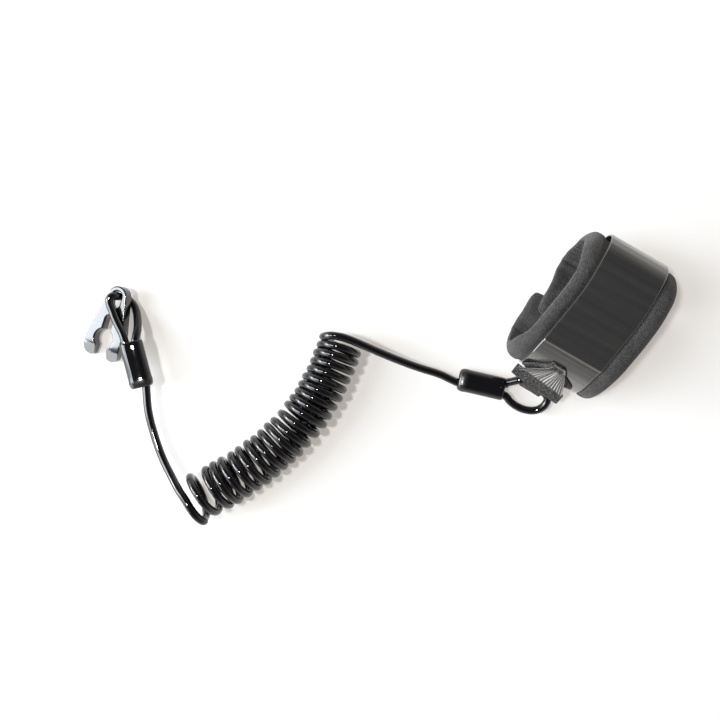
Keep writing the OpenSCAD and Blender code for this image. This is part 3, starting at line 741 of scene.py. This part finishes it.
# The lighter colour goes on the painted edge highlight and on the real seam line.
satin_whole = add_node(satin_tree, "ShaderNodeMix", {"data_type": "RGBA"})
satin_whole.inputs["B"].default_value = (0.055, 0.053, 0.051, 1)
satin_relief = add_node(satin_tree, "ShaderNodeBump", Strength=0.12, Distance=0.0002)
satin_links = satin_tree.links
satin_links.new(satin_flat.outputs["UV"], satin_split.inputs["Vector"])
satin_links.new(satin_flat.outputs["UV"], satin_stretch.inputs["Vector"])
satin_links.new(satin_flat.outputs["UV"], satin_slow.inputs["Vector"])
satin_links.new(satin_stretch.outputs["Vector"], satin_lines.inputs["Vector"])
satin_links.new(satin_slow.outputs["Vector"], satin_bands.inputs["Vector"])
satin_links.new(satin_bands.outputs["Fac"], satin_spread.inputs["Value"])
satin_links.new(satin_spread.outputs["Result"], satin_tone.inputs["Factor"])
satin_links.new(satin_lines.outputs["Fac"], satin_gloss.inputs["Value"])
satin_links.new(satin_split.outputs["X"], satin_side.inputs[0])
satin_links.new(satin_side.outputs["Value"], satin_edge_painted_highlight.inputs["Value"])
satin_links.new(satin_split.outputs["X"], satin_seam_off.inputs[0])
satin_links.new(satin_seam_off.outputs["Value"], satin_seam_near.inputs[0])
satin_links.new(satin_seam_near.outputs["Value"], satin_seam.inputs["Value"])
satin_links.new(satin_edge_painted_highlight.outputs["Result"], satin_edge_highlight_and_seam.inputs[0])
satin_links.new(satin_seam.outputs["Result"], satin_edge_highlight_and_seam.inputs[1])
satin_links.new(satin_edge_highlight_and_seam.outputs["Value"], satin_whole.inputs["Factor"])
satin_links.new(satin_tone.outputs["Result"], satin_whole.inputs["A"])
satin_links.new(satin_whole.outputs["Result"], satin_shader.inputs["Base Color"])
satin_links.new(satin_gloss.outputs["Result"], satin_shader.inputs["Roughness"])
satin_links.new(satin_lines.outputs["Fac"], satin_relief.inputs["Height"])
satin_links.new(satin_relief.outputs["Normal"], satin_shader.inputs["Normal"])
satin_shader.inputs["IOR"].default_value = 2.2
satin_shader.inputs["Coat Weight"].default_value = 1.0
satin_shader.inputs["Coat Roughness"].default_value = 0.10
strap.data.materials.append(satin)
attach(strap, "wristband")
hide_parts("wrist_strap")


# Hook and loop patches
# The strap's ends hold by two pieces of hook and loop tape, sewn to their facing sides. Their
# surface is a dense stand of small hooks and loops, matte and a little uneven.
def patch_maker(depth, seed):
    def patch_place(u, v):
        s = -0.013 + 0.020 * v
        across, deep = section_point(u, 0.018, 0.00049, 0.0006)
        rough = 0.00006 * noise.noise(Vector((across * 1500, s * 1500, seed)))
        return Vector((drift(s) + across, s, depth + 0.0005 + deep + math.copysign(rough, deep)))
    return patch_place


def patch_lay(u, v, outer):
    across = section_point(u, 0.018, 0.00049, 0.0006)[0]
    return across if outer else 0.036 - across, 0.020 * v


def nap_pattern(tree, flat):
    weave = use_group(tree, knit_group, Rows=1500.0, Columns=1350.0)
    tree.links.new(flat.outputs["UV"], weave.inputs["Vector"])
    return weave


tape_nap = fabric_finish("tape_nap", (0.012, 0.012, 0.012), (0.03, 0.03, 0.031), (0.2, 0.2, 0.2), 0.9, nap_pattern,
                         1300.0, 0.3, 0.8, 0.15)
for name, node, depth, seed in (("hook_tape", "hook_patch", 0.0015, 1), ("loop_tape", "loop_patch", 0.0025, 5)):
    tape = closed_loft(name, 64, 40, patch_maker(depth, seed), patch_lay)
    settle(tape, 60)
    tape.data.materials.append(tape_nap)
    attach(tape, "wristband")
    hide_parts(node)


# Webbing tab
# Ribbed nylon webbing is folded round the cord's loop and gathered at a bar tack on the strap, so its
# two layers flare to a crest between the fold and the tack. The cord swings in the fold.
bend_middle = Vector((-half_flat, bend_radius))
outer_radius, root_angle = 0.0259, 132.0
tab_line = arc(bend_middle, 0.02465, 131.0, 166.45, 14)
tab_line += arc((-0.053, 0.013), 0.0034, -13.55, -190.0, 16)
tab_line += [Vector(place) * 0.001 for place in (
    (-56.0, 16.2), (-55.3, 18.6), (-54.7, 20.4), (-54.35, 21.4), (-54.05, 21.95), (-53.5, 22.45), (-52.5, 23.2),
    (-51.2, 24.2), (-49.9, 25.2), (-49.2, 25.8), (-48.8, 26.3), (-48.5, 27), (-47.9, 28.6), (-46.9, 31), (-45.3, 34.2),
    (-43.6, 37.2), (-42, 39.6), (-40.6, 41.4), (-39.4, 42.7), (-38.7, 43.3))]
tab_points = [Vector((0, p.x, p.y)) for p in tab_line]
tab_lengths = running_lengths(tab_points)
fold_place = tab_lengths[15 + 9]
front_edge = tab_lengths[32 + 4]
back_crease = tab_lengths[32 + 10]
tab_end = tab_lengths[-1]
inner_shelf = tab_lengths[12]


def tab_half_width(s):
    """Half the width of the webbing at length s: widest at the shelf, gathered at both roots and at the fold."""
    if s < inner_shelf:
        return 0.0036 + 0.0129 * ease(s / inner_shelf)
    if s < fold_place:
        return 0.0068 + 0.0097 * (1 - ease((s - inner_shelf - 0.001) / 0.004))
    if s < front_edge:
        return 0.0068 + 0.0099 * ease((s - front_edge + 0.0016) / 0.0012)
    if s < back_crease:
        return 0.0168
    return 0.0034 + 0.0134 * (1 - (s - back_crease) / (tab_end - back_crease)) ** 0.9


def tab_place(u, v):
    s = v * tab_end
    half_width = tab_half_width(s)
    middle = curve_place(tab_points, tab_lengths, s)
    ahead = (curve_place(tab_points, tab_lengths, s + 0.0002) - curve_place(tab_points, tab_lengths, s - 0.0002))
    outward = Vector((0, ahead.z, -ahead.y)).normalized()
    across, deep = section_point(u, half_width, 0.00048, 0.0005)
    share = across / half_width
    fan = ease((s - back_crease) / 0.002) * ease((tab_end - s) / 0.003)
    under = ease(s / 0.004) * ease((inner_shelf - s) / 0.002)
    shelf = ease((s - fold_place - 0.003) / 0.003) * ease((tab_end - s) / 0.016)
    rib = (0.00042 * fan + 0.00015 * under) * math.cos(share * math.pi * 17)
    rib -= 0.0019 * fan * max(0, share - 0.38) / 0.62
    rib -= 0.0030 * fan * max(0, -share - 0.5) / 0.5
    gape = 0.0012 * ease((-share - 0.7) / 0.3) * ease((s - inner_shelf + 0.008) / 0.006) * ease((fold_place - s - 0.01) / 0.004)
    skew = -0.095 * across * shelf
    ripple = 0.00012 * noise.noise(Vector((share * 8, s * 400, 2)))
    side = -0.0068 + 0.0026 * ease((s - back_crease) / (tab_end - back_crease)) * (s > back_crease)
    side += 0.0009 * ease((fold_place - s) / 0.006) * (s < fold_place)
    return middle + Vector((side + across, skew, 0)) + outward * (deep + rib + gape + ripple)


def tab_lay(u, v, outer):
    """Across the webbing as a share of its width, so the ribs close up where it is gathered."""
    share = section_point(u, 1, 0.00048, 0.03)[0]
    return share if outer else 2 - share, v * tab_end


tab = closed_loft("webbing_tab_fold", 208, 190, tab_place, tab_lay)
settle(tab, 50)

# Ribbed weave: fine ridges along one direction of the cloth, with threads across them.
rib_group, rib_in, rib_out = new_group("ribs", {"Vector": None, "Ribs": 300.0, "Threads": 1200.0}, ("Height", "Shade"))
rib_split = add_node(rib_group, "ShaderNodeSeparateXYZ")
rib_count = add_node(rib_group, "ShaderNodeMath", {"operation": "MULTIPLY"})
thread_count = add_node(rib_group, "ShaderNodeMath", {"operation": "MULTIPLY"})
rib_wave = add_node(rib_group, "ShaderNodeMath", {"operation": "SINE"})
thread_wave = add_node(rib_group, "ShaderNodeMath", {"operation": "SINE"})
thread_low = add_node(rib_group, "ShaderNodeMath", {"operation": "MULTIPLY"})
thread_low.inputs[1].default_value = 0.4
rib_sum = add_node(rib_group, "ShaderNodeMath", {"operation": "ADD"})
rib_shade = add_node(rib_group, "ShaderNodeMapRange", From_Min=-1.4, From_Max=1.4)
rib_group.links.new(rib_in.outputs["Vector"], rib_split.inputs["Vector"])
rib_group.links.new(rib_split.outputs["X"], rib_count.inputs[0])
rib_group.links.new(rib_in.outputs["Ribs"], rib_count.inputs[1])
rib_group.links.new(rib_split.outputs["Y"], thread_count.inputs[0])
rib_group.links.new(rib_in.outputs["Threads"], thread_count.inputs[1])
rib_group.links.new(rib_count.outputs["Value"], rib_wave.inputs[0])
rib_group.links.new(thread_count.outputs["Value"], thread_wave.inputs[0])
rib_group.links.new(thread_wave.outputs["Value"], thread_low.inputs[0])
rib_group.links.new(rib_wave.outputs["Value"], rib_sum.inputs[0])
rib_group.links.new(thread_low.outputs["Value"], rib_sum.inputs[1])
rib_group.links.new(rib_sum.outputs["Value"], rib_shade.inputs["Value"])
rib_group.links.new(rib_sum.outputs["Value"], rib_out.inputs["Height"])
rib_group.links.new(rib_shade.outputs["Result"], rib_out.inputs["Shade"])


web, web_tree, web_shader = new_finish("webbing_nylon", (0.05, 0.05, 0.05), 0.55)
web_flat = add_node(web_tree, "ShaderNodeUVMap", {"uv_map": "UVMap"})
# The ribs' colour is shifted into step with the mesh's ridges, so the painted highlight below lies on their crests.
web_centred = add_node(web_tree, "ShaderNodeMapping", Location=(1 / 34, 0.0, 0.0))
web_ribs = use_group(web_tree, rib_group, Ribs=math.pi * 17, Threads=5200.0)
web_place = add_node(web_tree, "ShaderNodeTexCoord")
web_threads = add_node(web_tree, "ShaderNodeTexVoronoi", Scale=900.0, Randomness=0.8)
web_specks = add_node(web_tree, "ShaderNodeMapRange", From_Min=0.1, From_Max=0.6, To_Min=1.0, To_Max=0.0)
web_rows = use_group(web_tree, rib_group, Ribs=0.0, Threads=5200.0)
web_row_light = add_node(web_tree, "ShaderNodeMapRange", From_Min=0.44, From_Max=0.60, To_Min=0.05)
web_weave = add_node(web_tree, "ShaderNodeMath", {"operation": "MULTIPLY"})
web_split = add_node(web_tree, "ShaderNodeSeparateXYZ")
# Painted highlight and shade: over the fan, the rib crests are coloured far lighter than the grooves, for how the
# light falls across the ribs.
web_fan = add_node(web_tree, "ShaderNodeMapRange", From_Min=back_crease - 0.0004, From_Max=back_crease + 0.0006)
web_ridge = add_node(web_tree, "ShaderNodeMath", {"operation": "POWER"})
web_ridge.inputs[1].default_value = 2.0
web_crest_painted_highlight = add_node(web_tree, "ShaderNodeMath", {"operation": "MULTIPLY"})
web_base = add_node(web_tree, "ShaderNodeMix", {"data_type": "RGBA"})
web_base.inputs["A"].default_value = (0.004, 0.004, 0.004, 1)
web_base.inputs["B"].default_value = (0.16, 0.155, 0.15, 1)
web_crest_highlight_mix = add_node(web_tree, "ShaderNodeMix", {"data_type": "RGBA"})
web_crest_highlight_mix.inputs["B"].default_value = (0.50, 0.48, 0.46, 1)
web_relief = add_node(web_tree, "ShaderNodeBump", Strength=0.8, Distance=0.0003)
web_links = web_tree.links
web_links.new(web_flat.outputs["UV"], web_centred.inputs["Vector"])
web_links.new(web_flat.outputs["UV"], web_split.inputs["Vector"])
web_links.new(web_centred.outputs["Vector"], web_ribs.inputs["Vector"])
web_links.new(web_place.outputs["Object"], web_threads.inputs["Vector"])
web_links.new(web_threads.outputs["Distance"], web_specks.inputs["Value"])
web_links.new(web_flat.outputs["UV"], web_rows.inputs["Vector"])
web_links.new(web_rows.outputs["Shade"], web_row_light.inputs["Value"])
web_links.new(web_specks.outputs["Result"], web_weave.inputs[0])
web_links.new(web_row_light.outputs["Result"], web_weave.inputs[1])
web_links.new(web_weave.outputs["Value"], web_base.inputs["Factor"])
web_links.new(web_split.outputs["Y"], web_fan.inputs["Value"])
web_links.new(web_ribs.outputs["Shade"], web_ridge.inputs[0])
web_links.new(web_ridge.outputs["Value"], web_crest_painted_highlight.inputs[0])
web_links.new(web_fan.outputs["Result"], web_crest_painted_highlight.inputs[1])
web_links.new(web_crest_painted_highlight.outputs["Value"], web_crest_highlight_mix.inputs["Factor"])
web_links.new(web_base.outputs["Result"], web_crest_highlight_mix.inputs["A"])
web_links.new(web_crest_highlight_mix.outputs["Result"], web_shader.inputs["Base Color"])
web_links.new(web_threads.outputs["Distance"], web_relief.inputs["Height"])
web_links.new(web_relief.outputs["Normal"], web_shader.inputs["Normal"])
tab.data.materials.append(web)
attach(tab, "wristband")
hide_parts("webbing_tab")


# Bar tack
# The root of the tab is sewn to the strap with a bar tack: a dense zigzag of dark polyester thread,
# each stitch a short raised loop across the webbing.
bpy.ops.object.select_all(action="DESELECT")
bpy.ops.mesh.primitive_cylinder_add(vertices=8, radius=0.00028, depth=0.0032, location=(0, 0, 0), rotation=(0, math.pi / 2, 0))
stitch = bpy.context.object
bpy.ops.object.transform_apply(location=True, rotation=True, scale=True)
bpy.ops.object.mode_set(mode="EDIT")
bpy.ops.mesh.select_all(action="SELECT")
for cut in range(-3, 4):
    bpy.ops.mesh.select_all(action="SELECT")
    bpy.ops.mesh.bisect(plane_co=(cut * 0.0004, 0, 0), plane_no=(1, 0, 0))
bpy.ops.object.mode_set(mode="OBJECT")
for vertex in stitch.data.vertices:
    vertex.co.z -= 90 * vertex.co.x ** 2
stitch_mesh = stitch.data
stitches = []
tack_radius = outer_radius + 0.0011
for row in range(4):
    for column in range(12):
        angle = math.radians(root_angle + 1.5 + 1.6 * row)
        spot = Vector((-0.00845 + 0.0006 * column, bend_middle.x + tack_radius * math.cos(angle),
                       bend_middle.y + tack_radius * math.sin(angle)))
        copy = bpy.data.objects.new("stitch_copy", stitch_mesh.copy())
        bpy.context.collection.objects.link(copy)
        lean = 32 if (row + column) % 2 else -32
        copy.data.transform(Matrix.Translation(spot) @ Matrix.Rotation(angle - math.pi / 2, 4, "X")
                            @ Matrix.Rotation(math.radians(90 + lean), 4, "Z") @ Matrix.Scale(0.5, 4))
        stitches.append(copy)
bpy.ops.object.select_all(action="DESELECT")
for copy in stitches:
    copy.select_set(True)
bpy.context.view_layer.objects.active = stitches[0]
bpy.ops.object.join()
tack = bpy.context.object
tack.name = "bar_tack"
bpy.data.objects.remove(stitch)
settle(tack, 50)
thread_finish, thread_tree, thread_shader = new_finish("tack_thread", (0.015, 0.015, 0.016), 0.7)
thread_place = add_node(thread_tree, "ShaderNodeTexCoord")
thread_twist = add_node(thread_tree, "ShaderNodeTexWave", Scale=900.0, Distortion=0.6)
thread_bump = add_node(thread_tree, "ShaderNodeBump", Strength=0.5, Distance=0.0001)
thread_tint = add_node(thread_tree, "ShaderNodeMix", {"data_type": "RGBA"})
thread_tint.inputs["A"].default_value = (0.008, 0.008, 0.009, 1)
thread_tint.inputs["B"].default_value = (0.03, 0.03, 0.032, 1)
thread_tree.links.new(thread_place.outputs["Object"], thread_twist.inputs["Vector"])
thread_tree.links.new(thread_twist.outputs["Fac"], thread_tint.inputs["Factor"])
thread_tree.links.new(thread_tint.outputs["Result"], thread_shader.inputs["Base Color"])
thread_tree.links.new(thread_twist.outputs["Fac"], thread_bump.inputs["Height"])
thread_tree.links.new(thread_bump.outputs["Normal"], thread_shader.inputs["Normal"])
tack.data.materials.append(thread_finish)
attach(tack, "wristband")
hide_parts("tab_stitching")


# Table and light
# The lanyard lies on a plain white table. A tall, slightly blue window stands at the left of the
# picture with a low warm lamp beside it, a small lamp hangs overhead, and the room's walls are pale.
bpy.ops.object.select_all(action="DESELECT")
bpy.ops.mesh.primitive_plane_add(size=6, location=(-0.1, -0.1, 0))
table = bpy.context.object
table.name = "table"
table_finish, table_tree, table_shader = new_finish("table_white", (0.53, 0.545, 0.56), 0.8)
table_glow = add_node(table_tree, "ShaderNodeEmission", Strength=0.37)
table_glow.inputs["Color"].default_value = (1, 0.92, 0.83, 1)
table_rays = add_node(table_tree, "ShaderNodeLightPath")
table_seen = add_node(table_tree, "ShaderNodeMath", {"operation": "MAXIMUM"})
table_dark = add_node(table_tree, "ShaderNodeEmission", Strength=0.0)
table_pick = add_node(table_tree, "ShaderNodeMixShader")
table_sum = add_node(table_tree, "ShaderNodeAddShader")
table_end = table_tree.nodes["Material Output"]
table_tree.links.new(table_rays.outputs["Is Camera Ray"], table_seen.inputs[0])
table_tree.links.new(table_rays.outputs["Is Glossy Ray"], table_seen.inputs[1])
table_tree.links.new(table_seen.outputs["Value"], table_pick.inputs["Fac"])
table_tree.links.new(table_dark.outputs["Emission"], table_pick.inputs[1])
table_tree.links.new(table_glow.outputs["Emission"], table_pick.inputs[2])
table_tree.links.new(table_shader.outputs["BSDF"], table_sum.inputs[0])
table_tree.links.new(table_pick.outputs["Shader"], table_sum.inputs[1])
table_tree.links.new(table_sum.outputs["Shader"], table_end.inputs["Surface"])
table.data.materials.append(table_finish)


def add_lamp(name, toward, distance, size, power, colour):
    """Area lamp that stands in the direction toward from the middle of the lanyard and faces it."""
    middle = Vector((-0.11, -0.09, 0.0))
    back = Vector(toward).normalized()
    bpy.ops.object.light_add(type="AREA", location=middle + back * distance)
    lamp = bpy.context.object
    lamp.name = name
    lamp.data.shape = "RECTANGLE"
    lamp.data.size, lamp.data.size_y = size
    lamp.data.energy = power
    lamp.data.color = colour
    lamp.rotation_mode = "QUATERNION"
    lamp.rotation_quaternion = back.to_track_quat("Z", "Y")
    return lamp


add_lamp("window_light", (-0.7006, -0.4045, 0.5878), 2.2, (0.94, 1.62), 52.0, (0.88, 0.94, 1.0))
add_lamp("low_light", (-0.865, -0.315, 0.391), 2.4, (0.5, 0.5), 14.0, (1.0, 0.96, 0.90))
add_lamp("table_lamp", (-0.80, -0.54, 0.28), 1.6, (2.6, 0.66), 24.0, (0.95, 0.98, 1.0))
add_lamp("ceiling_lamp", (-0.27, -0.155, 0.95), 1.2, (0.09, 0.09), 8.5, (1.0, 0.97, 0.93))

world = bpy.data.worlds.new("room")
world.use_nodes = True
bpy.context.scene.world = world
room = world.node_tree
room_light = room.nodes["Background"]
room_light.inputs["Strength"].default_value = 1.0
room_way = add_node(room, "ShaderNodeTexCoord")
room_split = add_node(room, "ShaderNodeSeparateXYZ")
room_height = add_node(room, "ShaderNodeValToRGB")
room_height.color_ramp.elements[0].position = 0.08
room_height.color_ramp.elements[0].color = (0.95, 0.90, 0.84, 1)
room_height.color_ramp.elements[1].position = 0.75
room_height.color_ramp.elements[1].color = (0.05, 0.05, 0.052, 1)
room_middle = room_height.color_ramp.elements.new(0.36)
room_middle.color = (0.46, 0.435, 0.41, 1)
room.links.new(room_way.outputs["Generated"], room_split.inputs["Vector"])
room.links.new(room_split.outputs["Z"], room_height.inputs["Fac"])
room.links.new(room_height.outputs["Color"], room_light.inputs["Color"])
room_seen = add_node(room, "ShaderNodeBackground", Strength=1.0)
room_seen.inputs["Color"].default_value = (1, 1, 1, 1)
room_rays = add_node(room, "ShaderNodeLightPath")
room_pick = add_node(room, "ShaderNodeMixShader")
room.links.new(room_rays.outputs["Is Camera Ray"], room_pick.inputs["Fac"])
room.links.new(room_light.outputs["Background"], room_pick.inputs[1])
room.links.new(room_seen.outputs["Background"], room_pick.inputs[2])
room.links.new(room_pick.outputs["Shader"], room.nodes["World Output"].inputs["Surface"])
bpy.context.scene.view_settings.view_transform = "Standard"
